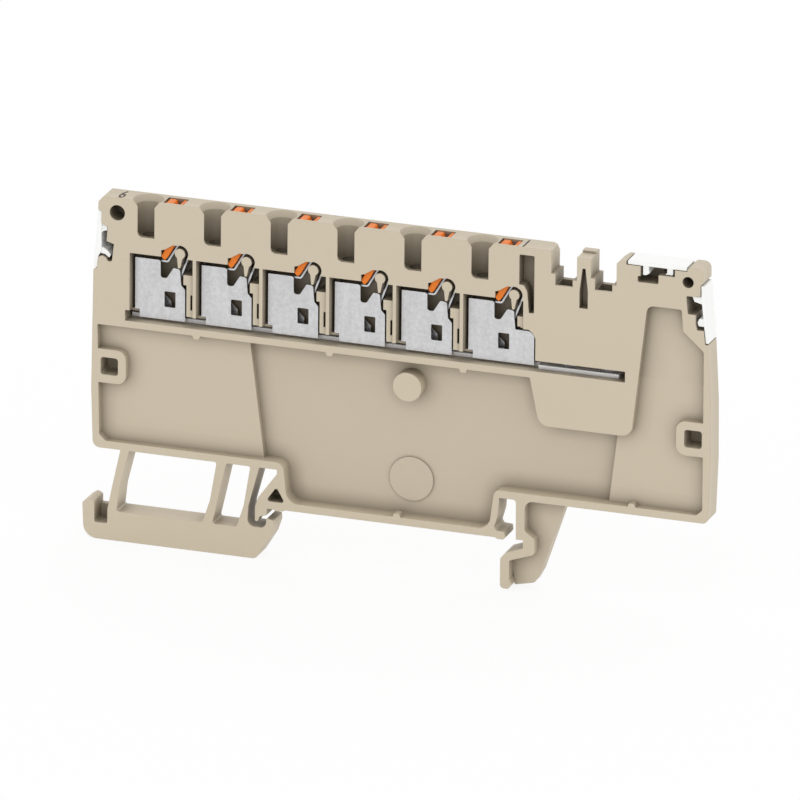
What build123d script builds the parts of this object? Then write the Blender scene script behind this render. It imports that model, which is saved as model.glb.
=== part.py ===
"""Feed-through terminal block for a 35 mm rail: six push-in clamps on one bus bar, seen from its open side.

X runs along the block, Y through its width with the open front towards -Y, and Z up.
The origin is the middle of the rail, on the plane where the block sits on it. All sizes are millimetres.
"""

from build123d import *
from math import cos, radians, sin
import os

# Block
block_width = 3.5
body_left = 42.5
body_top = 41.05
belly_height = 5.6
rim_wall = 1.05
back_wall = 0.5
foot_drop = 7.33

# Rail
rail_width = 35.0
rail_lip = 1.0
rail_play_left = 0.35
rail_play_right = 0.65

# Row of clamps
clamp_count = 6
clamp_pitch = 9.364
first_wire = 7.4
clamp_height = 17.1
ledge_thickness = 0.95

# Wire funnel
wire_bore = 2.2
funnel_flare = 0.45
funnel_depth = 3.0
funnel_web = 2.38

# Clamp chamber, measured from the wire axis and the channel floor
chamber_left = 2.28
chamber_height = 9.6
chamber_right = 6.6
channel_height = 1.5
side_block_left = 5.65
side_block_height = 7.3
side_block_depth = 0.3
post_x = 4.94
post_rise = 0.65
post_radius = 0.77
loop_room = 0.56

# Sheet-metal cage
sheet = 0.25
cage_depth = 1.0
cage_left = 1.85
cage_right = 5.2
cage_room = 0.85
cage_skirt = 0.1
cage_gap = 0.05
foot_width = 2.13
foot_height = 5.15

# Leaf spring
leaf = 0.25
leaf_gap = 0.1
loop_radius = 1.06
loop_lean = 21.5
leg_reach = 3.6

# Release pusher
pusher_width = 2.6
pusher_left = 2.42
pusher_nose_left = 2.05
pusher_nose_width = 1.8
pusher_sink = 0.35
pusher_front = 0.45
pusher_depth = 2.1
pusher_gap = 0.1
groove_width = 0.9
groove_depth = 0.75
front_skin = 0.35

# Bus bar
bar_thickness = 0.55
bar_width = 0.75
bar_wide = 1.75
bar_end_gap = 0.2
bar_back_gap = 0.05
bar_wide_from = 8.0
bar_hole = 1.9

# Slots for plug-in bridges
bridge_gap = 11.7
bridge_pitch = 5.5
bridge_width = 2.4
bridge_mouth = 3.55
bridge_depth = 4.72
bridge_step = 3.15
prong_width = 1.8
prong_depth = 1.2
key_width = 1.16
key_tip_depth = 1.95
key_taper = 3.15
key_depth = 7.5

# Marker tags
marker_length = 8.15
marker_plate = 0.55
marker_gap = 0.06
marker_leg = 0.8
seat_depth = 0.65
plate_inset = 0.15

# Recess beside the rail foot
recess_side = 1.2
recess_middle = 2.25

# Bosses and holes
peg_diameter = 4.0
pad_diameter = 6.15
pad_height = 0.2
left_hole = 2.14
right_hole = 1.54
key_hole = 2.45
key_boss_height = 4.75
blind_depth = 2.8
pocket_depth = 2.0

# Levels and places that follow from the sizes above
front_y = -block_width / 2
floor_depth = block_width - back_wall
channel_floor = body_top - clamp_height
recess_top = channel_floor - ledge_thickness
recess_bottom = belly_height + rim_wall
wire_axes = [-body_left + first_wire + i * clamp_pitch for i in range(clamp_count)]
last_wire = wire_axes[-1]
bridge_x = last_wire + bridge_gap
seat_x = bridge_x + bridge_pitch + 3.2
right_post = seat_x + marker_length + 0.2
channel_left = wire_axes[0] - 2.9
channel_right = seat_x - 0.07
bar_right = channel_right - 1.25
body_right = right_post + 3.6
rail_edge_left = -rail_width / 2 - rail_play_left
rail_edge_right = rail_width / 2 + rail_play_right
bar_back = floor_depth - bar_back_gap
bar_front = bar_back - bar_width
bar_top = channel_floor + bar_thickness
bar_step = last_wire + bar_wide_from
cage_back = floor_depth - cage_gap
post_z = chamber_height + post_rise
cage_top = chamber_height - cage_room
leaf_front = cage_depth + sheet + leaf_gap
leaf_back = floor_depth - leaf_gap
pusher_back = pusher_front + pusher_depth


def layer(depth, place=(0, 0)):
    """Drawing plane parallel to the open side, at a depth behind the front, with its origin at x and z."""
    return Plane((place[0], front_y + depth, place[1]), x_dir=(1, 0, 0), z_dir=(0, -1, 0))


def outline(corners, mode=Mode.ADD):
    """Fill a closed outline, given as x, z and corner radius, in the sketch being drawn."""
    with BuildLine() as edge:
        FilletPolyline([(x, z) for x, z, r in corners], radius=[r for x, z, r in corners], close=True)
    make_face(edge.line, mode=mode)


def prism(corners, near, far, mode=Mode.ADD, place=(0, 0)):
    """Add or cut an outline between two depths behind the front face."""
    with BuildSketch(layer(far, place)) as face:
        outline(corners)
    extrude(face.sketch, amount=far - near, mode=mode)


def cut(corners, depth, place=(0, 0)):
    """Cut an outline from the front face down to a depth."""
    prism(corners, 0, depth, Mode.SUBTRACT, place)


def box(x0, x1, z0, z1, radius=0):
    """Corners of a rectangle with equal corner radii."""
    return [(x0, z0, radius), (x1, z0, radius), (x1, z1, radius), (x0, z1, radius)]


# Outline of the body above its underside, with the seats of the three marker tags
top_post = seat_x - 0.1
corner_x = right_post + 2.2
body_outline = [
    (-body_left, belly_height, 1.0),
    (-body_left - 0.25, 14.0, 0),
    (-body_left, 30.6, 0),
    (-body_left + 0.5, 30.9, 0.1),
    (-body_left + 0.7, 32.45, 0),
    (-body_left + 1.15, 32.7, 0),
    (-body_left + 1.15, 38.9, 0),
    (-body_left + 0.65, 39.1, 0.1),
    (-body_left + 0.7, 40.25, 0.1),
    (-body_left + 1.4, body_top, 0.1),
    (top_post, body_top, 0.1),
    (top_post, body_top - seat_depth, 0.1),
    (right_post, body_top - seat_depth, 0.1),
    (right_post, body_top, 0.5),
    (corner_x, body_top, 0.9),
    (corner_x, body_top - 2.1, 0.15),
    (corner_x - 0.35, body_top - 2.35, 0),
    (corner_x - 0.35, body_top - 3.9, 0),
    (corner_x - 0.95, body_top - 3.9, 0),
    (corner_x - 0.95, body_top - 7.8, 0.1),
    (corner_x - 0.7, body_top - 8.6, 0),
    (corner_x + 0.2, body_top - 8.6, 0.1),
    (corner_x + 0.4, body_top - 10.5, 0.1),
    (corner_x + 0.82, body_top - 10.5, 0.1),
    (body_right - 0.1, 22.0, 0),
    (body_right, 14.0, 0),
    (body_right - 0.25, belly_height, 0.8),
]

# Bridge over the rail, with the nose of the left hook and the lip beside the right arm
nose = rail_edge_left
bridge_outline = [
    (nose + 1.4, recess_bottom + 1, 0),
    (nose + 1.4, 5.0, 0.2),
    (nose - 1.2, 1.4, 0.8),
    (nose - 1.65, 0.0, 0.8),
    (nose - 1.65, -1.95, 0.1),
    (nose - 1.25, -2.0, 0.1),
    (nose - 1.0, -1.3, 0.2),
    (nose, -1.0, 0.05),
    (nose, -0.05, 0.1),
    (nose + 0.75, -0.05, 0.1),
    (nose + 1.25, -0.22, 0.1),
    (nose + 2.15, -0.22, 0.1),
    (nose + 2.65, 0.0, 0.1),
    (rail_edge_right - 3.95, 0.0, 0.1),
    (rail_edge_right - 3.55, -0.2, 0.1),
    (rail_edge_right - 2.75, -0.2, 0.1),
    (rail_edge_right - 2.5, 0.15, 0.1),
    (rail_edge_right - 2.6, 0.9, 0.1),
    (rail_edge_right - 3.75, 0.95, 0.3),
    (rail_edge_right - 4.05, 1.45, 0.2),
    (rail_edge_right - 3.55, 3.2, 0.5),
    (rail_edge_right - 3.25, recess_bottom + 1, 0),
]

# Left foot: a frame of slanting struts with the hook that takes the left rail edge
jaw = -rail_lip - 0.45
foot_outline = [
    (-body_left + 4.0, belly_height + 0.4, 0),
    (-body_left + 2.7, 0.0, 1.0),
    (-body_left + 2.1, -3.1, 0.2),
    (-body_left + 2.1, -5.05, 0.3),
    (-body_left + 0.25, -5.05, 0.3),
    (-body_left + 0.25, -2.1, 0.3),
    (-body_left - 0.5, -1.75, 0.4),
    (-body_left - 1.45, -2.4, 0.4),
    (-body_left - 1.25, -foot_drop, 1.9),
    (nose - 1.5, -foot_drop, 0.9),
    (nose + 0.45, -4.1, 1.5),
    (nose + 1.0, -2.4, 1.0),
    (nose + 0.95, jaw - 0.2, 0.1),
    (nose, jaw, 0.1),
    (nose - 0.2, -2.85, 0.8),
    (nose - 2.75, -2.85, 1.0),
    (nose - 2.6, 0.0, 2.0),
    (nose - 1.0, belly_height + 0.4, 0),
]
window_outer = [
    (-body_left + 5.15, belly_height, 0.25),
    (nose - 7.1, belly_height, 0.3),
    (nose - 8.05, 0.0, 3.0),
    (nose - 9.1, -3.15, 0.4),
    (-body_left + 3.4, -3.15, 0.3),
    (-body_left + 3.75, 0.0, 3.0),
]
window_inner = [
    (nose - 5.75, belly_height, 0.25),
    (nose - 2.35, belly_height, 0.3),
    (nose - 3.25, 0.0, 3.0),
    (nose - 4.25, -3.15, 0.35),
    (nose - 7.7, -3.15, 0.3),
    (nose - 7.0, 0.0, 3.0),
]
hook_hole = [(nose + 1.35, 3.15, 0.3), (nose + 2.55, 1.0, 0.3), (nose - 0.15, 1.0, 0.3)]

# Right foot: the springy arm that snaps over the right rail edge, and the web behind it
arm = rail_edge_right
arm_outline = [
    (arm - 2.2, recess_bottom, 0),
    (arm - 2.2, belly_height, 0),
    (arm - 1.05, belly_height, 0.45),
    (arm - 1.0, 0.05, 0),
    (arm, 0.05, 0),
    (arm, -rail_lip - 0.1, 0.1),
    (arm - 2.5, -2.05, 0.5),
    (arm - 3.15, -2.9, 0.4),
    (arm - 3.15, -foot_drop + 0.28, 0.55),
    (arm - 2.0, -foot_drop + 0.28, 0.4),
    (arm - 1.5, -6.35, 0.1),
    (arm - 1.9, -5.7, 0.1),
    (arm - 1.9, -3.05, 0.1),
    (arm + 1.6, -1.8, 0.5),
    (arm + 1.6, 0.4, 0.5),
    (arm + 0.2, 1.4, 0.5),
    (arm + 0.2, belly_height, 1.1),
    (arm + 2.2, belly_height, 0),
    (arm + 2.2, recess_bottom, 0),
]
web_outline = [
    (arm - 0.6, belly_height + 0.3, 0),
    (arm + 5.55, belly_height + 0.3, 0),
    (arm + 2.1, -4.6, 0.8),
    (arm + 1.2, -6.3, 0.8),
    (arm - 1.6, -foot_drop + 0.45, 0.1),
    (arm - 2.2, -3.0, 0),
    (arm + 0.7, -1.7, 0),
    (arm + 0.7, 0.4, 0),
    (arm - 0.6, 1.2, 0),
]
web_depth = 1.6

# Recess round the raised panel, its deeper middle, and what stands in it
panel_left = last_wire + 7.1
panel_right = bridge_x + bridge_pitch + 4.1
recess_outline = [
    (-body_left + 0.6, recess_top, 0.15),
    (panel_left, recess_top, 0.1),
    (panel_left + 1.35, 16.45, 1.6),
    (panel_right, 16.45, 1.6),
    (panel_right + 2.0, body_top - 6.0, 1.0),
    (right_post - 0.7, body_top - 6.0, 0.3),
    (right_post - 0.45, body_top - 9.0, 0.5),
    (body_right - rim_wall - 0.1, body_top - 11.55, 0.6),
    (body_right - rim_wall, recess_bottom + 0.75, 0.2),
    (body_right - rim_wall - 0.8, recess_bottom, 0.2),
    (arm - 4.1, recess_bottom, 0.9),
    (arm - 4.8, rim_wall, 1.7),
    (nose + 2.85, rim_wall, 1.8),
    (nose + 2.25, recess_bottom, 1.2),
    (-body_left + 1.8, recess_bottom, 0.2),
    (-body_left + 0.9, recess_bottom + 0.85, 0.2),
]
middle_outline = [
    (nose - 3.07, recess_top + 1, 0),
    (bridge_x + bridge_pitch + 2.7, recess_top + 1, 0),
    (bridge_x + bridge_pitch + 0.65, recess_bottom - 1, 0),
    (arm - 4.8, -0.5, 0),
    (nose + 2.8, -0.5, 0),
    (nose - 0.7, recess_bottom - 1, 0),
]
peg_x = 1.72
peg_z = recess_top - 3.5
pad_x = 1.75
pad_z = recess_bottom - 0.7
key_z = 17.2

# Outlines inside one clamp, from its wire axis and the channel floor
half_bore = wire_bore / 2
funnel_floor = chamber_height + funnel_web
funnel_outline = [
    (half_bore, clamp_height + 1, 0),
    (half_bore, funnel_floor, 0.35),
    (-half_bore, funnel_floor, 1.0),
    (-half_bore - funnel_flare, clamp_height - 0.5, 0.3),
    (-half_bore - funnel_flare - 0.6, clamp_height + 1, 0),
]
shaft_right = pusher_left + pusher_width + pusher_gap
shaft_outline = [
    (pusher_left - pusher_gap, clamp_height + 1, 0),
    (shaft_right, clamp_height + 1, 0),
    (shaft_right, post_z + 1.1, 0),
    (pusher_nose_left + 0.8, chamber_height - 0.5, 0),
    (pusher_nose_left - pusher_gap, chamber_height - 0.5, 0),
]
nose_window = [
    (pusher_nose_left + 0.1, chamber_height - 0.5, 0),
    (pusher_nose_left + 0.1, chamber_height + 0.9, 0.1),
    (pusher_nose_left + 0.6, chamber_height + 1.05, 0.2),
    (post_x - 1.0, post_z + 1.1, 0.2),
    (post_x, post_z + 1.1, 0),
    (post_x, chamber_height - 0.5, 0),
]
stem_outline = [
    (post_x - 0.6, post_z - 0.4, 0.1),
    (post_x - 0.42, post_z - 2.0, 0.1),
    (post_x - 0.02, post_z - 2.0, 0.1),
    (post_x + 0.5, post_z - 0.5, 0.1),
]
cage_bottom = bar_thickness - cage_skirt
cage_outline = [
    (-cage_left + 0.65, cage_bottom, 0),
    (-cage_left + 0.65, channel_height + 0.05, 0),
    (-cage_left, channel_height + 0.05, 0),
    (-cage_left, cage_top, 0.1),
    (1.72, cage_top, 0.35),
    (1.75, cage_top - 2.45, 0.35),
    (2.6, cage_top - 2.45, 0.4),
    (3.55, cage_top - 0.9, 0.25),
    (4.45, cage_top - 1.0, 0.3),
    (cage_right - 0.55, foot_height + 0.4, 0.1),
    (cage_right, foot_height - 0.2, 0.15),
    (cage_right, cage_bottom, 0),
]
last_cage_outline = cage_outline[:-3] + [
    (cage_right - 0.52, foot_height, 0.1),
    (cage_right + foot_width, foot_height, 0.95),
    (cage_right + foot_width, cage_bottom, 0),
]
cage_window = box(2.3, 3.85, 2.25, 4.45, 0.15)
cage_tab = [(1.2, 0.6, 0), (2.83, 0.6, 0), (2.83, 2.65, 0), (1.6, 3.85, 0), (1.2, 3.85, 0)]
side_block = [
    (chamber_right + 0.1, channel_height, 0),
    (chamber_right + 0.1, side_block_height, 0),
    (side_block_left - 0.45, side_block_height, 0),
    (side_block_left - 0.45, side_block_height - 1.4, 0),
    (side_block_left, side_block_height - 1.4, 0),
    (side_block_left, channel_height, 0),
]
column_slot = box(chamber_right - 0.4, chamber_right - 0.05, 2.45, 4.55)
last_space = [
    (cage_right - 0.1, 0, 0),
    (cage_right - 0.1, foot_height + 0.65, 0),
    (cage_right + foot_width - 0.45, foot_height + 0.55, 0.3),
    (cage_right + foot_width + 0.1, foot_height + 0.15, 0.3),
    (cage_right + foot_width + 0.5, foot_height - 0.6, 0.3),
    (cage_right + foot_width + 0.5, 0, 0),
]

# Leaf spring: the fixed leg runs up into the loop round the post, and the clamping leg comes down from it
loop_x = post_x - 0.04
lean = radians(loop_lean)
spring_foot = [
    (loop_x - 0.5, 3.2),
    (loop_x - 0.5, 6.1),
    (loop_x + loop_radius * cos(lean), post_z - loop_radius * sin(lean)),
]
spring_leg = [
    (loop_x - loop_radius * cos(lean), post_z + loop_radius * sin(lean)),
    (loop_x - 1.8, chamber_height - 1.0),
    (loop_x - 3.3, chamber_height - 1.0),
    (loop_x - 3.3 - leg_reach * cos(radians(55)), chamber_height - 1.0 - 4.2),
]

# Release pusher, with its nose over the clamping leg and the screwdriver groove in its head
pusher_top = clamp_height - pusher_sink
pusher_tip = chamber_height - 0.65
pusher_right = pusher_left + pusher_width
nose_right = pusher_nose_left + pusher_nose_width
pusher_outline = [
    (pusher_left, pusher_top, 0.15),
    (pusher_right, pusher_top, 0.15),
    (pusher_right, post_z + 2.65, 0.2),
    (nose_right, post_z + 2.65, 0.2),
    (nose_right, post_z + 1.05, 0.3),
    (nose_right - 0.85, pusher_tip + 0.25, 0.2),
    (pusher_nose_left + 0.45, pusher_tip, 0.2),
    (pusher_nose_left, pusher_tip + 0.4, 0.2),
    (pusher_nose_left, pusher_tip + 0.8, 0.2),
    (pusher_left, pusher_tip + 1.35, 0.3),
]
groove_x = pusher_left + 1.68
groove = [
    (groove_x - groove_width / 2, pusher_top, 0),
    (groove_x - 0.08, pusher_top - groove_depth, 0),
    (groove_x + 0.08, pusher_top - groove_depth, 0),
    (groove_x + groove_width / 2, pusher_top, 0),
]

# What stands against the front edge of the recess: x, z and the side that the bump points to
stop_bumps = [(wire_axes[i] + 7.15, recess_top, -1) for i in (0, 2, 4)]
stop_bumps += [(0.4, rim_wall, 1), (arm + 15.05, recess_bottom, 1)]
key_bosses = [(-body_left + 2.3, 1), (body_right - 2.47, -1)]
corner_holes = [(-body_left + 3.35, body_top - 2.1, left_hole), (corner_x - 2.07, body_top - 2.1, right_hole)]

# Room for the hooks of the marker tags, and the pocket beside the last clamp
left_pocket = [
    (-body_left + 0.4, 32.4, 0),
    (-body_left + 1.1, 32.75, 0.2),
    (-body_left + 1.75, 32.5, 0.2),
    (-body_left + 2.05, 32.0, 0.1),
    (-body_left + 2.6, 32.0, 0.25),
    (-body_left + 2.9, 34.5, 0.1),
    (-body_left + 1.85, 34.8, 0.1),
    (-body_left + 2.0, 36.85, 0.1),
    (-body_left + 1.2, 37.1, 0),
    (-body_left + 0.4, 37.1, 0),
]
top_pocket = [
    (seat_x + 1.88, body_top, 0),
    (seat_x + 1.88, body_top - 2.0, 0),
    (seat_x + 1.5, body_top - 2.0, 0.2),
    (seat_x + 1.5, body_top - 2.85, 0.2),
    (seat_x + 4.38, body_top - 2.85, 0.2),
    (seat_x + 4.38, body_top - 1.6, 0.1),
    (seat_x + 6.63, body_top - 1.6, 0.1),
    (seat_x + 6.63, body_top, 0),
]
right_pocket = [
    (corner_x, body_top - 4.0, 0),
    (corner_x - 2.3, body_top - 4.0, 0.2),
    (corner_x - 2.05, body_top - 6.5, 0.2),
    (corner_x, body_top - 6.5, 0),
]
side_pocket = [
    (5.48, 16.05, 0.2),
    (7.58, 16.05, 0.2),
    (7.58, 8.05, 0.15),
    (6.7, 8.05, 0.15),
    (6.43, 11.1, 0.5),
    (5.48, 11.5, 0.3),
]

# Marker tags: a thin plate in each seat, with hooked legs in the pocket behind it
plate_back = block_width - plate_inset
leg_front = plate_inset * 2
leg_back = floor_depth - 0.1
left_plate = [
    (-body_left + 0.6, 38.85, 0.1),
    (-body_left + 0.02, 30.97, 0.1),
    (-body_left + 0.46, 30.97, 0),
    (-body_left + 0.64, 32.5, 0),
    (-body_left + 1.08, 33.4, 0),
    (-body_left + 1.15 - marker_gap, 38.85, 0),
]
left_legs = [
    [
        (-body_left + 0.9, 37.0, 0),
        (-body_left + 1.1, 37.0, 0),
        (-body_left + 1.85, 36.75, 0.1),
        (-body_left + 1.85, 36.2, 0.1),
        (-body_left + 1.35, 36.1, 0.1),
        (-body_left + 0.9, 35.6, 0),
    ],
    [
        (-body_left + 0.75, 33.85, 0),
        (-body_left + 1.25, 33.75, 0.1),
        (-body_left + 1.8, 33.45, 0.2),
        (-body_left + 2.35, 32.85, 0.1),
        (-body_left + 2.15, 32.4, 0.1),
        (-body_left + 1.5, 32.86, 0.2),
        (-body_left + 0.75, 32.95, 0),
    ],
]
tag_left = seat_x + 0.08
plate_low = body_top - seat_depth + marker_gap
top_plate = box(tag_left, tag_left + marker_length, plate_low, plate_low + marker_plate, 0.1)
top_legs = [
    [
        (tag_left + 2.05, plate_low + 0.2, 0),
        (tag_left + 2.05, body_top - 1.9, 0.1),
        (tag_left + 2.5, body_top - 1.9, 0.1),
        (tag_left + 3.0, body_top - 1.55, 0.1),
        (tag_left + 2.05 + marker_leg, body_top - 1.25, 0),
        (tag_left + 2.05 + marker_leg, plate_low + 0.2, 0),
    ],
    [
        (tag_left + 5.4, plate_low + 0.2, 0),
        (tag_left + 5.4, body_top - 1.2, 0),
        (tag_left + 5.15, body_top - 1.5, 0),
        (tag_left + 5.4 + marker_leg, body_top - 1.5, 0.1),
        (tag_left + 5.4 + marker_leg, plate_low + 0.2, 0),
    ],
]
right_plate = [
    (corner_x + 0.18, 38.6, 0.1),
    (corner_x + 0.88, 30.7, 0.1),
    (corner_x + 0.46, 30.7, 0),
    (corner_x + 0.26, 32.4, 0),
    (corner_x - 0.25, 37.0, 0),
    (corner_x - 0.35 + marker_gap, 38.6, 0),
]
right_legs = [
    [
        (corner_x - 0.1, 37.0, 0),
        (corner_x - 1.55, 37.0, 0.1),
        (corner_x - 1.25, 36.3, 0.1),
        (corner_x - 0.1, 36.0, 0),
    ],
    [
        (corner_x + 0.15, 34.0, 0),
        (corner_x - 0.55, 34.0, 0.2),
        (corner_x - 0.8, 33.4, 0.1),
        (corner_x - 0.6, 32.95, 0.1),
        (corner_x + 0.25, 32.95, 0),
    ],
]

# Slots for plug-in bridges, with the key slot between them
slot_step = body_top - bridge_step
slot_floor = body_top - bridge_depth
slot_axes = [bridge_x, bridge_x + bridge_pitch]
key_x = bridge_x + bridge_pitch / 2
key_slot = [
    (key_x, body_top - key_tip_depth, 0),
    (key_x + key_width / 2, body_top - key_tip_depth - key_taper, 0),
    (key_x + key_width / 2, body_top - key_depth, 0.1),
    (key_x - key_width / 2, body_top - key_depth, 0.1),
    (key_x - key_width / 2, body_top - key_tip_depth - key_taper, 0),
]

# Space inside one clamp, beside the funnel: shaft, nose window, loop pocket and chamber
with BuildPart() as clamp_space:
    prism(funnel_outline, 0, funnel_depth)
    with BuildSketch(Plane.XY.offset(chamber_height - 0.5)) as wire_hole:
        with Locations((0, front_y + funnel_depth - half_bore - 0.3)):
            Circle(half_bore)
    extrude(wire_hole.sketch, amount=funnel_floor - chamber_height + 1.0)
    prism(shaft_outline, front_skin, pusher_back + pusher_gap)
    prism(nose_window, 0, floor_depth)
    with BuildSketch(layer(floor_depth)) as loop_pocket:
        with Locations((post_x, post_z)):
            Circle(post_radius + loop_room)
    extrude(loop_pocket.sketch, amount=floor_depth)
    prism(box(-chamber_left, chamber_right, 0, chamber_height), 0, floor_depth)

# What stands in that space: the round spring post with its stem, and the rib under the cage wall
with BuildPart() as clamp_post:
    with BuildSketch(layer(floor_depth)) as post:
        with Locations((post_x, post_z)):
            Circle(post_radius)
        outline(stem_outline)
    extrude(post.sketch, amount=floor_depth)
    rib = box(-chamber_left - 0.4, -0.9, channel_height - 0.35, channel_height)
    prism(rib, cage_depth + sheet + cage_gap, floor_depth)

os.makedirs("parts", exist_ok=True)

with BuildPart() as housing:
    # Body, bridge over the rail and both feet
    prism(body_outline, 0, block_width)
    prism(bridge_outline, 0, block_width)
    prism(foot_outline, 0, block_width)
    prism(arm_outline, 0, block_width)
    prism(web_outline, web_depth, block_width)
    cut(window_outer, block_width)
    cut(window_inner, block_width)
    prism(box(-body_left + 0.1, -body_left + 2.2, -5.2, -3.2), block_width - 0.9, block_width)
    cut(hook_hole, blind_depth)

    # Recess, its deeper middle, and the peg and pad that stand in it
    cut(recess_outline, recess_side)
    with BuildSketch(layer(recess_middle)) as middle_floor:
        outline(recess_outline)
        outline(middle_outline, Mode.INTERSECT)
    extrude(middle_floor.sketch, amount=recess_middle, mode=Mode.SUBTRACT)
    with BuildSketch(layer(recess_middle)) as peg:
        with Locations((peg_x, peg_z)):
            Circle(peg_diameter / 2)
    extrude(peg.sketch, amount=recess_middle)
    with BuildSketch(layer(recess_middle)) as pad:
        with Locations((pad_x, pad_z)):
            Circle(pad_diameter / 2)
    extrude(pad.sketch, amount=pad_height)
    for x, z, side in stop_bumps:
        bump = [
            (x - 0.6, z - side * 0.1, 0),
            (x - 0.35, z + side * 0.5, 0.15),
            (x + 0.35, z + side * 0.5, 0.15),
            (x + 0.6, z - side * 0.1, 0),
        ]
        prism(bump, 0, recess_side)

    # Bosses with the square key holes, and the round holes of the top corners
    for x, side in key_bosses:
        low, high = key_z - key_boss_height / 2, key_z + key_boss_height / 2
        wall_x, end_x = x - side * 2.0, x + side * 2.35
        boss = [(wall_x, low, 0), (end_x, low, 1.3), (end_x, high, 1.3), (wall_x, high, 0)]
        prism(boss, 0, recess_side)
        half_key = key_hole / 2
        cut(box(x - half_key, x + half_key, key_z - half_key, key_z + half_key, 0.4), blind_depth)
    for x, z, diameter in corner_holes:
        with BuildSketch(layer(blind_depth)) as hole:
            with Locations((x, z)):
                Circle(diameter / 2)
        extrude(hole.sketch, amount=blind_depth, mode=Mode.SUBTRACT)

    # Channel of the bus bar, open at the front, and the six clamps above it
    cut(box(channel_left, channel_right, channel_floor, channel_floor + channel_height), floor_depth)
    with Locations(*[(x, 0, channel_floor) for x in wire_axes]):
        add(clamp_space.part, mode=Mode.SUBTRACT)
    with Locations(*[(x, 0, channel_floor) for x in wire_axes]):
        add(clamp_post.part)
    for x in wire_axes:
        prism(side_block, side_block_depth, block_width, place=(x, channel_floor))
        cut(column_slot, pocket_depth, (x, channel_floor))
    cut(last_space, floor_depth, (last_wire, channel_floor))
    cut(side_pocket, pocket_depth, (last_wire, channel_floor))

    # Slots for plug-in bridges, with the shafts of their prongs down to the bus bar
    for x in slot_axes:
        cut(box(x - bridge_mouth / 2, x + bridge_mouth / 2, slot_step, body_top + 1), block_width)
        cut(box(x - bridge_width / 2, x + bridge_width / 2, slot_floor, slot_step + 1), block_width)
        with BuildSketch(Plane.XY.offset(channel_floor + 0.1)) as shaft:
            with Locations((x, front_y + bar_back - bar_width / 2 - 0.5)):
                Rectangle(prong_width, prong_depth)
        extrude(shaft.sketch, amount=slot_floor - channel_floor, mode=Mode.SUBTRACT)
    cut(key_slot, blind_depth)

    # Seats of the marker tags
    for pocket in (left_pocket, top_pocket, right_pocket):
        cut(pocket, floor_depth)
housing.part.label = "housing"
export_step(housing.part, "parts/housing.step")

with BuildPart() as busbar:
    prism(box(channel_left + bar_end_gap, bar_step, channel_floor, bar_top), bar_front, bar_back)
    prism(box(bar_step - 0.1, bar_right, channel_floor, bar_top), bar_back - bar_wide, bar_back)
    with BuildSketch(Plane.XY.offset(bar_top)) as prong_holes:
        with Locations(*[(x, front_y + bar_back - bar_wide / 2) for x in slot_axes]):
            RectangleRounded(bar_hole, bar_hole / 2, 0.2)
    extrude(prong_holes.sketch, amount=-bar_thickness, mode=Mode.SUBTRACT)
busbar.part.label = "busbar"
export_step(busbar.part, "parts/busbar.step")

for number, x in zip(range(clamp_count, 0, -1), wire_axes):
    place = (x, channel_floor)
    plate = last_cage_outline if x == last_wire else cage_outline
    flange_right = cage_right + (foot_width if x == last_wire else 0)
    flange = box(-cage_left + 0.65, flange_right, bar_thickness, bar_thickness + sheet)
    wall = box(-cage_left, -cage_left + sheet, channel_height + cage_gap, cage_top)

    with BuildPart() as cage:
        prism(plate, cage_depth, cage_depth + sheet, place=place)
        prism(cage_window, cage_depth, cage_depth + sheet, Mode.SUBTRACT, place)
        prism(flange, cage_depth, cage_back, place=place)
        prism(wall, cage_depth, cage_back, place=place)
        prism(cage_tab, bar_front, bar_front + sheet, place=place)
    cage.part.label = f"clamp_cage_{number}"
    export_step(cage.part, f"parts/clamp_cage_{number}.step")

    with BuildPart() as spring:
        with BuildSketch(layer(leaf_back, place)) as strip:
            with BuildLine() as strip_line:
                FilletPolyline(*spring_foot, radius=[1.0])
                CenterArc((loop_x, post_z), loop_radius, -loop_lean, 180)
                FilletPolyline(*spring_leg, radius=[0.35, 0.5])
            trace(strip_line.line, line_width=leaf)
        extrude(strip.sketch, amount=leaf_back - leaf_front)
    spring.part.label = f"clamp_spring_{number}"
    export_step(spring.part, f"parts/clamp_spring_{number}.step")

    with BuildPart() as pusher:
        prism(pusher_outline, pusher_front, pusher_back, place=place)
        prism(groove, pusher_front, pusher_back, Mode.SUBTRACT, place)
    pusher.part.label = f"release_pusher_{number}"
    export_step(pusher.part, f"parts/release_pusher_{number}.step")

with BuildPart() as marker_left:
    prism(left_plate, plate_inset, plate_back)
    for leg in left_legs:
        prism(leg, leg_front, leg_back)
marker_left.part.label = "marker_left"
export_step(marker_left.part, "parts/marker_left.step")

with BuildPart() as marker_top:
    prism(top_plate, plate_inset, plate_back)
    for leg in top_legs:
        prism(leg, leg_front, leg_back)
marker_top.part.label = "marker_top"
export_step(marker_top.part, "parts/marker_top.step")

with BuildPart() as marker_right:
    prism(right_plate, plate_inset, plate_back)
    for leg in right_legs:
        prism(leg, leg_front, leg_back)
marker_right.part.label = "marker_right"
export_step(marker_right.part, "parts/marker_right.step")
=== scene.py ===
"""Looks of the feed-through terminal block, made round its fixed frame.

Everything is in metres. Outlines are written in millimetres, and a mesh turns them into metres.
"""

import math

import bmesh
import bpy
from mathutils import Matrix, Vector


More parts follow.
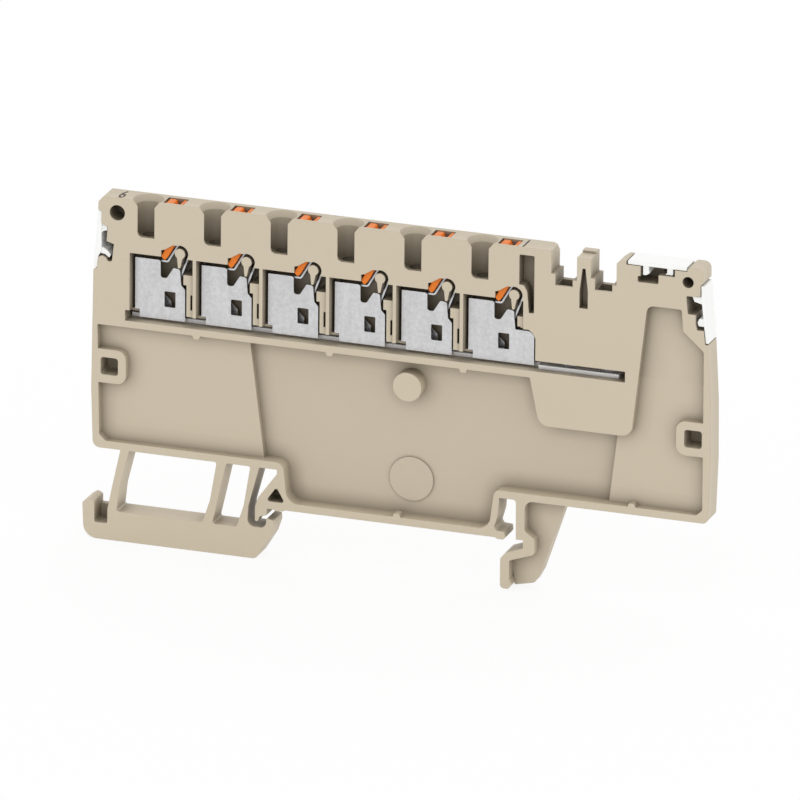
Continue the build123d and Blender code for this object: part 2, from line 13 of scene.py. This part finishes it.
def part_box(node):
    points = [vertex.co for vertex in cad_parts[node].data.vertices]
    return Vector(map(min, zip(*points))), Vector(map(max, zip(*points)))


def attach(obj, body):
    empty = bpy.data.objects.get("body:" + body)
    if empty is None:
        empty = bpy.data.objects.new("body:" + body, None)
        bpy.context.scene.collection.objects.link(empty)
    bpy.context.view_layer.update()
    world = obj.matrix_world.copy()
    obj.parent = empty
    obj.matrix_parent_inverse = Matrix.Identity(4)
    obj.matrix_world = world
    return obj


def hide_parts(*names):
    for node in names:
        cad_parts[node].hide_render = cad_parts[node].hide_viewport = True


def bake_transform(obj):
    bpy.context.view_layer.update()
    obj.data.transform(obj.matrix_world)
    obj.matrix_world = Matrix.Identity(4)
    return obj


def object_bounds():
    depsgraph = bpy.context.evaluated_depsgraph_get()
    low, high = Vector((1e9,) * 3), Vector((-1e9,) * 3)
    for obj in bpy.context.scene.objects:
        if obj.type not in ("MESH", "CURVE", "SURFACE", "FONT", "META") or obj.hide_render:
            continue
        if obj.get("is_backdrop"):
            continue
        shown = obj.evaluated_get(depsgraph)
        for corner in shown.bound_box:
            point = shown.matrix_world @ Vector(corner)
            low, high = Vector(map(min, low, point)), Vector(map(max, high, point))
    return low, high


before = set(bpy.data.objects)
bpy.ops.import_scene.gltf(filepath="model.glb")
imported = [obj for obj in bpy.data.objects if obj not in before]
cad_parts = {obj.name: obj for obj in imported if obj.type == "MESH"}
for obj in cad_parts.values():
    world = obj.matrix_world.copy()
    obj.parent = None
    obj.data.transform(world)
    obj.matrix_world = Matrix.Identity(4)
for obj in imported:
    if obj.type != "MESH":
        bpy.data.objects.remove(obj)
cad_low, cad_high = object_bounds()
mm = 0.001


# Housing: one open moulding of beige polyamide that carries every other piece and snaps on the rail with
# its two feet. Its faces have the fine grain of a spark-eroded mould, and its edges are very slightly
# rounded. Its colour holds painted shade: the deep floors are painted darker than the front, and
# pockets and corners are painted darker still.
class Value:
    """A number socket of a node tree. Sums, products, comparisons and the like on it become Math nodes."""

    def __init__(self, socket):
        self.socket = socket

    def reckon(self, operation, first, second, clamped=False):
        tree = self.socket.id_data
        node = tree.nodes.new("ShaderNodeMath")
        node.operation, node.use_clamp = operation, clamped
        for slot, term in zip(node.inputs, (first, second)):
            if isinstance(term, Value):
                tree.links.new(term.socket, slot)
            else:
                slot.default_value = term
        return Value(node.outputs[0])

    def __add__(self, other):
        return self.reckon("ADD", self, other)

    def __sub__(self, other):
        return self.reckon("SUBTRACT", self, other)

    def __rsub__(self, other):
        return self.reckon("SUBTRACT", other, self)

    def __mul__(self, other):
        return self.reckon("MULTIPLY", self, other)

    def __gt__(self, other):
        return self.reckon("GREATER_THAN", self, other)

    def __or__(self, other):
        return self.reckon("MAXIMUM", self, other)

    def clamped(self):
        return self.reckon("MULTIPLY", self, 1.0, clamped=True)

    __radd__ = __add__
    __rmul__ = __mul__
    __ror__ = __or__


class Nodes:
    """A node tree in the making."""

    def __init__(self, tree):
        self.tree = tree

    def feed(self, node, name, value):
        """Sets or links a socket, or with a list each of the sockets that share this name."""
        slots = [slot for slot in node.inputs if slot.name == name.replace("_", " ") and slot.enabled]
        for slot, term in zip(slots, value if isinstance(value, list) else [value]):
            if isinstance(term, Value):
                self.tree.links.new(term.socket, slot)
            else:
                slot.default_value = term

    def add(self, kind, settings=None, output=None, **sockets):
        """Any node, from its type, its settings, the output that is wanted and its sockets."""
        node = self.tree.nodes.new("ShaderNode" + kind)
        for name, value in (settings or {}).items():
            setattr(node, name, value)
        for name, value in sockets.items():
            self.feed(node, name, value)
        outputs = [slot for slot in node.outputs if slot.enabled and output in (None, slot.name)]
        return Value(outputs[0]) if outputs else None


class Finish(Nodes):
    """A material on the principled shader."""

    def __init__(self, name, **fixed):
        self.material = bpy.data.materials.new(name)
        self.material.use_nodes = True
        super().__init__(self.material.node_tree)
        self.shader = self.tree.nodes["Principled BSDF"]
        self.shade(**fixed)

    def shade(self, **sockets):
        for name, value in sockets.items():
            self.feed(self.shader, name, value)

    def noise(self, place, scale, detail):
        return self.add("TexNoise", {"noise_dimensions": "3D"}, "Fac", Vector=place, Scale=scale, Detail=detail)

    def blend(self, factor, first, second):
        ends = [shade if isinstance(shade, Value) else (*shade, 1) for shade in (first, second)]
        return self.add("Mix", {"data_type": "RGBA"}, Factor=factor, A=ends[0], B=ends[1])

    def openness(self, reach, alone=False):
        """1 on a face that is free within this reach, less in a pocket (alone: in one of its own piece)."""
        return self.add("AmbientOcclusion", {"samples": 8, "only_local": alone}, "AO", Distance=reach)

    def softened(self, radius, height, depth):
        """Edges rounded to the eye, under a fine relief."""
        edges = self.add("Bevel", {"samples": 6}, Radius=radius)
        return self.add("Bump", Normal=edges, Height=height, Distance=depth, Strength=1.0)


def dress(piece, finish):
    piece.data.materials.clear()
    piece.data.materials.append(finish.material)


housing_front = (0.588, 0.510, 0.386)
# Painted shade: a darker beige for the deep floors
housing_floor_shade = (0.560, 0.485, 0.372)
housing_light = (0.603, 0.524, 0.398)
# Painted shade: a near-black for pockets and corners
housing_pocket_shade = (0.16, 0.13, 0.09)
shade_start_depth, shade_fade_rate = -1.3 * mm, 1.0 / (1.6 * mm)
own_reach, full_reach = 2.5 * mm, 4 * mm
bar_low, bar_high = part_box("busbar")

polyamide = Finish("beige polyamide", IOR=1.52)
place = polyamide.add("TexCoord", output="Object")
mottle = polyamide.noise(place, 140, 4.0)
grain = polyamide.noise(place, 5200, 2.0)
depth = polyamide.add("SeparateXYZ", output="Y", Vector=place)
height = polyamide.add("SeparateXYZ", output="Z", Vector=place)
# Painted shade: pockets and corners darken by how shut in they are, among the housing's own faces and, above
# the bus bar, among the metal parts as well.
full_shade_zone = height > bar_high.z + 0.05 * mm
own = polyamide.openness(own_reach, alone=True)
free = own + (polyamide.openness(full_reach) * 1.25 - 0.25 - own) * full_shade_zone
# Painted shade: the colour turns to the darker beige on floors that lie deeper behind the front.
depth_shade = ((depth - shade_start_depth) * shade_fade_rate).clamped()
tone = polyamide.blend(depth_shade, polyamide.blend(mottle, housing_light, housing_front), housing_floor_shade)
polyamide.shade(
    Base_Color=polyamide.blend(free, housing_pocket_shade, tone),
    Roughness=0.44 + mottle * 0.1 + grain * 0.06,
    Normal=polyamide.softened(0.09 * mm, grain, 0.004 * mm),
)


def rounded(points, radii, steps):
    """A run of straight lines whose inner corners are turned by arcs of the given radii."""
    path = [points[0]]
    for before, corner, after, radius in zip(points, points[1:], points[2:], radii):
        back, ahead = (before - corner).normalized(), (after - corner).normalized()
        half = back.angle(ahead) / 2
        middle = corner + (back + ahead).normalized() * radius / math.sin(half)
        start = corner + back * radius / math.tan(half) - middle
        end = corner + ahead * radius / math.tan(half) - middle
        turn = start.angle(end)
        for step in range(steps + 1):
            part = step / steps
            arc = start * math.sin((1 - part) * turn) + end * math.sin(part * turn)
            path.append(middle + arc / math.sin(turn))
    return path + [points[-1]]


def corners_of(outline, steps=6):
    """The points of a closed outline, given as x, z and corner radius."""
    ends = outline[-1:] + outline + outline[:1]
    points = []
    for before, corner, after in zip(ends, ends[1:], ends[2:]):
        run = [Vector((x, 0, z)) for x, z, radius in (before, corner, after)]
        points += rounded(run, [corner[2]], steps)[1:-1] if corner[2] else [run[1]]
    return [(point.x, point.z) for point in points]


def disc(x, z, radius, steps=40):
    """The points of a circle."""
    turns = [2 * math.pi * step / steps for step in range(steps)]
    return [(x + radius * math.cos(turn), z + radius * math.sin(turn)) for turn in turns]


def slab(points, front, back, place):
    """A solid between two depths behind the open side, from an outline round a place."""
    shape = bmesh.new()
    spots = [((place[0] + x) * mm, cad_low.y + front * mm, (place[1] + z) * mm) for x, z in points]
    face = shape.faces.new([shape.verts.new(spot) for spot in spots])
    grown = bmesh.ops.extrude_face_region(shape, geom=[face])["geom"]
    far = [part for part in grown if isinstance(part, bmesh.types.BMVert)]
    bmesh.ops.translate(shape, vec=(0, (back - front) * mm, 0), verts=far)
    bmesh.ops.recalc_face_normals(shape, faces=shape.faces)
    return shape


def slabs(points, front, back, places):
    return [slab(points, front, back, place) for place in places]


def turned(profile, x, depth, steps=56):
    """A round solid from radii and heights upwards, about an upright axis behind the open side."""
    shape = bmesh.new()
    rings = []
    for radius, z in profile:
        ring = [(x + across, cad_low.y / mm + depth + away, z) for across, away in disc(0, 0, radius, steps)]
        rings.append([shape.verts.new(Vector(spot) * mm) for spot in ring])
    for lower, upper in zip(rings, rings[1:]):
        for step in range(steps):
            shape.faces.new((lower[step - 1], lower[step], upper[step], upper[step - 1]))
    shape.faces.new(rings[0])
    shape.faces.new(rings[-1])
    bmesh.ops.recalc_face_normals(shape, faces=shape.faces)
    return shape


def linked(name, data):
    """An object of this name in the scene."""
    made = bpy.data.objects.new(name, data)
    bpy.context.scene.collection.objects.link(made)
    return made


def piece_of(name, shapes):
    """One object from solids that don't touch each other."""
    whole = bmesh.new()
    for shape in shapes:
        single = bpy.data.meshes.new(name)
        shape.to_mesh(single)
        whole.from_mesh(single)
        bpy.data.meshes.remove(single)
    mesh = bpy.data.meshes.new(name)
    whole.to_mesh(mesh)
    return linked(name, mesh)


def mesh_of(piece):
    """A piece's mesh with its modifiers applied."""
    return bpy.data.meshes.new_from_object(piece.evaluated_get(bpy.context.evaluated_depsgraph_get()))


def work(piece, operation, shapes):
    """Fills (UNION) or cuts (DIFFERENCE) a piece with solids."""
    tool = piece_of("tool", shapes)
    step = piece.modifiers.new("work", "BOOLEAN")
    step.operation, step.object, step.solver = operation, tool, "MANIFOLD"
    piece.data = mesh_of(piece)
    piece.modifiers.clear()
    piece.data.shade_flat()
    bpy.data.objects.remove(tool)


moulding = linked("housing_moulding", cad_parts["housing"].data.copy())
merged = bmesh.new()
merged.from_mesh(moulding.data)
bmesh.ops.remove_doubles(merged, verts=merged.verts, dist=0.0005 * mm)
merged.to_mesh(moulding.data)


def fill(shapes):
    work(moulding, "UNION", shapes)


def cut(shapes):
    work(moulding, "DIFFERENCE", shapes)


body_height, first_wire, pitch = 17.1, -35.1, 9.364
top = cad_high.z / mm
channel = top - body_height
wire_axes = [first_wire + pitch * number for number in range(6)]
clamps = [(x, channel) for x in wire_axes]
last_clamp = clamps[-1:]
outside, floor_depth, into_wall, through = -0.1, 3.0, 3.05, 3.6

# wire funnels: round, flared at the top, with a rounded corner and a hole for the wire in the floor
funnel_radius, funnel_axis, corner_depth = 1.58, 1.05, 0.4
hole_radius, hole_axis = 1.0, 1.6
opening = math.sqrt(funnel_radius ** 2 - funnel_axis ** 2)
lead_in = [(-1.95, 11.93), (1.25, 11.93), (1.25, body_height), (-1.95, body_height)]
funnel = [
    (funnel_radius, channel + 11.98), (funnel_radius, channel + 16.3),
    (2.1, channel + body_height), (2.1, top + 1),
]
funnel_corner = [
    (-funnel_radius - 0.1, 12.58), (-opening - 0.02, 12.58), (-opening + 0.13, 12.2),
    (-opening + 0.54, 11.98), (-opening + 0.54, 11.88), (-funnel_radius - 0.1, 11.88),
]
wire_hole = [(hole_radius, channel + 11.6), (hole_radius, channel + 12.3)]
fill(slabs(lead_in, 0, into_wall, clamps))
cut([turned(funnel, x, funnel_axis) for x in wire_axes])
fill(slabs(funnel_corner, 0, corner_depth, clamps))
cut([turned(wire_hole, x, hole_axis) for x in wire_axes])

# spring posts, each in its round pocket, with room for the nose of the pusher
post_x, post_z = 4.8, 10.28
post_seat = disc(4.94, 10.25, 1.36)
post_pocket, post_disc = disc(post_x, post_z, 1.18), disc(post_x, post_z, 0.72)
nose_room = [(2.15, 9.1), (2.15, 10.5), (2.65, 10.65), (3.8, 11.38), (4.8, 11.38), (4.8, 9.1)]
under_post = [(3.0, 8.2), (6.35, 8.2), (6.35, 9.6), (3.0, 9.6)]
stem = [(4.38, 9.78), (4.54, 8.28), (4.85, 8.28), (5.15, 9.68)]
fill(slabs(post_seat, 0, into_wall, clamps))
cut(slabs(post_pocket, outside, floor_depth, clamps))
cut(slabs(nose_room, outside, floor_depth, clamps))
cut(slabs(under_post, outside, floor_depth, clamps))
fill(slabs(post_disc, 0, into_wall, clamps))
fill(slabs(stem, 0, into_wall, clamps))

# wall and rounded edge beside the last clamp
wall_depth, edge_depth = 3.2, 2.05
last_wall = [(6.08, 5.7), (6.75, 5.7), (6.75, 9.7), (6.08, 9.7)]
pocket_edge = corners_of([
    (5.3, 11.3, 0), (5.41, 11.9, 0), (6.15, 11.8, 0.3), (6.6, 11.0, 0.6),
    (6.88, 7.95, 0), (6.6, 7.9, 0), (6.2, 10.9, 0),
])
fill(slabs(last_wall, 0, wall_depth, last_clamp))
fill(slabs(pocket_edge, 0, edge_depth, last_clamp))

# slots for plug-in bridges, with the low post, the shallow key slot and the bevelled corners beside them
slot_from_wire, slot_pitch = 11.7, 5.5
shaft_front, shaft_back, key_depth, front_depth = 0.35, 2.75, 1.5, 2.3
slot_x = wire_axes[-1] + slot_from_wire
slots = [(slot_x, top), (slot_x + slot_pitch, top)]
first_slot = slots[:1]
key_place = [(slot_x + slot_pitch / 2, top)]
step_right = [(0, -3.75), (1.775, -3.75), (1.775, 1), (0, 1)]
shaft = [(-1.1, -17.0), (1.1, -17.0), (1.1, -4.0), (-1.1, -4.0)]
key = [(-0.2, -1.95), (0.2, -1.95), (0.58, -5.1), (0.58, -7.5), (-0.58, -7.5), (-0.58, -5.1)]
key_floor = [(-0.7, -1.8), (0.7, -1.8), (0.7, -7.6), (-0.7, -7.6)]
post_cut = [(1.7, -0.2), (3.8, -0.2), (3.8, 1), (1.7, 1)]
post_front = [(1.7, -0.5), (3.8, -0.5), (3.8, 1), (1.7, 1)]
seat_corner = [(7.175, -0.75), (8.025, -0.13), (9.0, -0.13), (9.0, 0.5), (7.175, 0.5)]
end_corner = [(-2.625, 0.02), (-2.075, -0.22), (-1.765, -0.95), (-1.675, 0.5)]
cut(slabs(step_right, outside, through, slots))
cut(slabs(shaft, shaft_front, shaft_back, slots))
cut(slabs(key, outside, shaft_back + 0.05, key_place))
fill(slabs(key_floor, key_depth, into_wall, key_place))
cut(slabs(post_cut, outside, through, first_slot) + slabs(seat_corner, outside, through, first_slot))
cut(slabs(post_front, outside, front_depth, first_slot) + slabs(end_corner, front_depth, through, first_slot))
dress(moulding, polyamide)
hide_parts("housing")
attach(moulding, "block")


# Bus bar: one flat strip of copper, tinned all over and drawn lengthwise, lying in the channel under
# the clamps and ending in two pierced holes for the prongs of plug-in bridges.
def sheet_metal(name, light, dark, streaks, roughness, metallic=1.0):
    """Rolled sheet: long faint streaks and a fine mottled grain in colour and gloss, and painted shade on the
    rims near other parts.
    """
    metal = Finish(name, Metallic=metallic)
    place = metal.add("TexCoord", output="Object")
    along = metal.add("Mapping", {"vector_type": "POINT"}, Vector=place, Scale=streaks)
    streak = metal.noise(along, 1.0, 5.0)
    speck = metal.noise(place, 2200, 4.0)
    tone = metal.blend(streak * 0.4 + speck * 0.6, dark, light)
    # Painted shade: the sheet is painted nearly black where another part lies within half a millimetre.
    rim_shade = tuple(part * 0.25 for part in dark)
    metal.shade(
        Base_Color=metal.blend(metal.openness(0.5 * mm), rim_shade, tone),
        Roughness=roughness + streak * 0.1 + speck * 0.1,
        Normal=metal.softened(0.04 * mm, speck, 0.003 * mm),
    )
    return metal


tinned_copper = sheet_metal(
    "tinned copper", (0.98, 0.97, 0.975), (0.88, 0.87, 0.875), (90, 5200, 5200), 0.34, metallic=0.2)
dress(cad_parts["busbar"], tinned_copper)


# Clamp cages: punched and folded sheet steel, tin-plated, with the rolling marks running upwards and
# a dull silvery face. Each stands on the bus bar in its own chamber.
plated_sheet = sheet_metal(
    "plated sheet steel", (0.90, 0.90, 0.905), (0.42, 0.42, 0.43), (900, 900, 160), 0.34)
for number in range(1, 7):
    dress(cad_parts[f"clamp_cage_{number}"], plated_sheet)


# Clamp springs: hardened spring strip, bent into a loop round the housing's post. The fixed leg stands
# in the cage, and on the real block the clamping leg bends down when its pusher is pressed. Here each
# spring is one fixed mesh in its rest shape.
spring_steel = sheet_metal(
    "spring steel", (0.76, 0.76, 0.77), (0.50, 0.50, 0.51), (2600, 140, 2600), 0.2)
leaf = 0.25 * mm
loop_radius, loop_shift = 0.97 * mm, -0.04
foot_lean, leg_lean = math.radians(20), math.radians(30)
foot_points = [(-0.489, -7.08), (-0.489, -4.18)]
leg_points = [(-2.125, -1.74), (-3.16, -1.74), (-6.12, -5.89)]
foot_radii, leg_radii = [1.0 * mm], [0.35 * mm, 0.5 * mm]
corner_steps, loop_steps = 8, 40


def strip_tree(finish):
    """Geometry nodes that sweep a flat strip of a set thickness and width along a line of edges."""
    tree = bpy.data.node_groups.new("spring strip", "GeometryNodeTree")
    tree.interface.new_socket("Line", in_out="INPUT", socket_type="NodeSocketGeometry")
    tree.interface.new_socket("Strip thickness", in_out="INPUT", socket_type="NodeSocketFloat")
    tree.interface.new_socket("Strip width", in_out="INPUT", socket_type="NodeSocketFloat")
    tree.interface.new_socket("Strip", in_out="OUTPUT", socket_type="NodeSocketGeometry")
    add, link = tree.nodes.new, tree.links.new
    start, end = add("NodeGroupInput"), add("NodeGroupOutput")
    curve, normals = add("GeometryNodeMeshToCurve"), add("GeometryNodeSetCurveNormal")
    profile, sweep = add("GeometryNodeCurvePrimitiveQuadrilateral"), add("GeometryNodeCurveToMesh")
    flat, realize = add("GeometryNodeSetShadeSmooth"), add("GeometryNodeRealizeInstances")
    paint = add("GeometryNodeSetMaterial")
    normals.mode = "FREE"
    normals.inputs["Normal"].default_value = (0, 1, 0)
    sweep.inputs["Fill Caps"].default_value = True
    flat.inputs["Shade Smooth"].default_value = False
    paint.inputs["Material"].default_value = finish.material
    link(start.outputs["Line"], curve.inputs[0])
    link(curve.outputs[0], normals.inputs["Curve"])
    link(normals.outputs[0], sweep.inputs["Curve"])
    link(start.outputs["Strip width"], profile.inputs["Width"])
    link(start.outputs["Strip thickness"], profile.inputs["Height"])
    link(profile.outputs[0], sweep.inputs["Profile Curve"])
    link(sweep.outputs[0], flat.inputs[0])
    link(flat.outputs[0], realize.inputs[0])
    link(realize.outputs[0], paint.inputs["Geometry"])
    link(paint.outputs[0], end.inputs[0])
    return tree


def shape_by(tree, piece, **sizes):
    """Turns a piece's line into the plain mesh that a node tree makes of it."""
    shaper = piece.modifiers.new("shape", "NODES")
    shaper.node_group = tree
    for item in tree.interface.items_tree:
        size = sizes.get(item.name.replace(" ", "_"))
        if item.in_out == "INPUT" and size is not None:
            shaper[item.identifier] = size
    shaped = mesh_of(piece)
    piece.modifiers.remove(shaper)
    piece.data = shaped


loop = []
for step in range(loop_steps + 1):
    turn = (math.pi - leg_lean + foot_lean) * step / loop_steps - foot_lean
    loop.append(Vector((math.cos(turn), 0, math.sin(turn))) * loop_radius)
foot = [Vector((x, 0, z)) * mm for x, z in foot_points] + loop[:1]
leg = loop[-1:] + [Vector((x, 0, z)) * mm for x, z in leg_points]
spring_path = rounded(foot, foot_radii, corner_steps) + loop[1:-1] + rounded(leg, leg_radii, corner_steps)

strip = strip_tree(spring_steel)
for number in range(1, 7):
    low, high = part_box(f"clamp_spring_{number}")
    loop_x, loop_z = wire_axes[6 - number] + post_x + loop_shift, channel + post_z
    post = Vector((loop_x * mm, (low.y + high.y) / 2, loop_z * mm))
    line = bpy.data.meshes.new(f"leaf_spring_{number}")
    steps = [(step, step + 1) for step in range(len(spring_path) - 1)]
    line.from_pydata([post + point for point in spring_path], steps, [])
    spring = linked(f"leaf_spring_{number}", line)
    shape_by(strip, spring, Strip_thickness=leaf, Strip_width=high.y - low.y)
    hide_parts(f"clamp_spring_{number}")
    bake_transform(spring)


# Release pushers: orange moulded nylon, smooth and a little glossy, guided in the shafts beside the
# wire funnels. The head has a groove for the screwdriver and the nose rests on the spring.
orange_nylon = Finish("orange nylon", IOR=1.4)
place = orange_nylon.add("TexCoord", output="Object")
flow = orange_nylon.noise(place, 300, 3.0)
skin = orange_nylon.noise(place, 6000, 2.0)
orange_nylon.shade(
    Base_Color=orange_nylon.blend(flow, (0.86, 0.215, 0.014), (0.80, 0.188, 0.010)),
    Roughness=0.3 + flow * 0.1 + skin * 0.05,
    Normal=orange_nylon.softened(0.08 * mm, skin, 0.002 * mm),
)
pusher_front, pusher_back = 0.45, 2.55
edge_width, edge_angle = 0.12 * mm, math.radians(40)
pusher_outline = corners_of([
    (2.42, 17.0, 0.3), (3.5, 17.0, 0.3), (3.95, 15.7, 0.1), (4.15, 15.7, 0.1), (4.5, 17.0, 0.25),
    (5.02, 17.0, 0.2), (5.02, 12.93, 0), (3.98, 12.93, 0), (3.98, 11.33, 0.3), (2.76, 9.25, 0.3),
    (2.45, 8.95, 0.25), (2.05, 9.4, 0.25), (2.05, 9.75, 0), (2.42, 10.3, 0),
])
for number in range(1, 7):
    body = slab(pusher_outline, pusher_front, pusher_back, clamps[6 - number])
    pusher = piece_of(f"pusher_body_{number}", [body])
    edges = pusher.modifiers.new("edges", "BEVEL")
    edges.width, edges.segments = edge_width, 3
    edges.limit_method, edges.angle_limit = "ANGLE", edge_angle
    pusher.data = mesh_of(pusher)
    pusher.modifiers.clear()
    dress(pusher, orange_nylon)
    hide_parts(f"release_pusher_{number}")
    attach(pusher, f"pusher_{number}")


# Marker tags: thin white polycarbonate plates for a printed number, left blank here, snapped into
# their seats by two hooked legs each.
white_tag = Finish("white polycarbonate", IOR=1.55)
place = white_tag.add("TexCoord", output="Object")
cloud = white_tag.noise(place, 260, 3.0)
skin = white_tag.noise(place, 7000, 2.0)
white_tag.shade(
    Base_Color=white_tag.blend(cloud, (0.955, 0.96, 0.935), (0.93, 0.935, 0.915)),
    Roughness=0.36 + cloud * 0.1 + skin * 0.05,
    Normal=white_tag.softened(0.06 * mm, skin, 0.002 * mm),
)
for side in ("left", "top", "right"):
    dress(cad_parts[f"marker_{side}"], white_tag)


# Pole numbers: the first and the last clamp are numbered on the top face in thin, narrow, dark laser
# marking, read with the open side at the bottom.
mark_size, mark_narrow = 3.9 * mm, 0.5
mark_forward, mark_lift = -0.3 * mm, 0.006 * mm
mark_places = {6: -38.85 * mm, 1: 17.6 * mm}
laser_mark = Finish("laser marking", IOR=1.45)
place = laser_mark.add("TexCoord", output="Object")
char = laser_mark.noise(place, 9000, 3.0)
laser_mark.shade(
    Base_Color=laser_mark.blend(char, (0.060, 0.050, 0.040), (0.115, 0.095, 0.075)),
    Roughness=0.7 + char * 0.15,
)
for number, mark_x in mark_places.items():
    words = bpy.data.curves.new(f"number_{number}", "FONT")
    words.body = str(number)
    words.size = 1.0
    words.offset = 0.012
    words.align_x = "CENTER"
    words.align_y = "CENTER"
    text = linked(f"number_{number}_text", words)
    letters = mesh_of(text)
    bpy.data.objects.remove(text)
    spot = Matrix.Translation((mark_x, mark_forward, cad_high.z + mark_lift))
    letters.transform(spot @ Matrix.Diagonal((mark_narrow * mark_size, mark_size, 1, 1)))
    mark = linked(f"pole_number_{number}", letters)
    dress(mark, laser_mark)
    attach(mark, "block")


# Setting: a pale matt floor just under the foot, a white surround and one weak, broad lamp from the right.
# The camera, mirrors and glass see the floor nearly as white as the surround, with a trace of its shadows.
floor_side, floor_gap = 3.0, 0.02 * mm
white, pale_grey = (1, 1, 1, 1), (0.95, 0.95, 0.95, 1)
white_share = 0.88
floor_mesh = bpy.data.meshes.new("floor")
sides = ((-1, -1), (1, -1), (1, 1), (-1, 1))
corners = [(x * floor_side, y * floor_side, cad_low.z - floor_gap) for x, y in sides]
floor_mesh.from_pydata(corners, [], [(0, 1, 2, 3)])
floor = linked("floor", floor_mesh)
pale = bpy.data.materials.new("pale floor")
pale.use_nodes = True
pale.node_tree.nodes.clear()
nodes = Nodes(pale.node_tree)
camera_ray = nodes.add("LightPath", output="Is Camera Ray")
glossy_ray = nodes.add("LightPath", output="Is Glossy Ray")
glass_ray = nodes.add("LightPath", output="Is Transmission Ray")
matt = nodes.add("BsdfDiffuse", Color=pale_grey)
glow = nodes.add("Emission", Color=white, Strength=1.0)
seen = (camera_ray | glossy_ray | glass_ray) * white_share
nodes.add("OutputMaterial", Surface=nodes.add("MixShader", Fac=seen, Shader=[matt, glow]))
floor_mesh.materials.append(pale)
floor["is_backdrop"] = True

world = bpy.data.worlds.new("surround")
bpy.context.scene.world = world
world.use_nodes = True
surround = world.node_tree.nodes["Background"]
surround.inputs["Color"].default_value = white
surround.inputs["Strength"].default_value = 1.0


def towards(azimuth, elevation):
    """The direction that lies this far to the right of the open side's front and above it."""
    flat = math.cos(elevation)
    return Vector((math.sin(azimuth) * flat, -math.cos(azimuth) * flat, math.sin(elevation)))


lamp = bpy.data.lights.new("key light", "SUN")
lamp.energy = 0.15
lamp.angle = math.radians(60)
sun = linked("key light", lamp)
sun.rotation_euler = towards(math.radians(30), math.radians(30)).to_track_quat("Z", "Y").to_euler()

# Camera: from the right of the open side and above it, far away with a long lens, turned a little
# clockwise. It frames the block as the photograph does.
view_azimuth, view_elevation, view_roll = math.radians(19.0), math.radians(19.546), math.radians(0.555)
view_centre = Vector((0.755, -1.75, 17.6)) * mm
view_distance = 2.4
pixels_per_mm, frame_pixels = 7.556, 800
away = towards(view_azimuth, view_elevation)
level = Vector((math.cos(view_azimuth), math.sin(view_azimuth), 0))
upright = away.cross(level)
across = level * math.cos(view_roll) + upright * math.sin(view_roll)
above = upright * math.cos(view_roll) - level * math.sin(view_roll)
lens = bpy.data.cameras.new("camera")
lens.sensor_width = 36.0
lens.lens = lens.sensor_width * pixels_per_mm / mm * view_distance / frame_pixels
camera = linked("camera", lens)
turn = Matrix((across, above, away)).transposed().to_4x4()
camera.matrix_world = Matrix.Translation(view_centre + away * view_distance) @ turn
bpy.context.scene.camera = camera
bpy.context.scene.view_settings.view_transform = "Standard"

low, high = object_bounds()
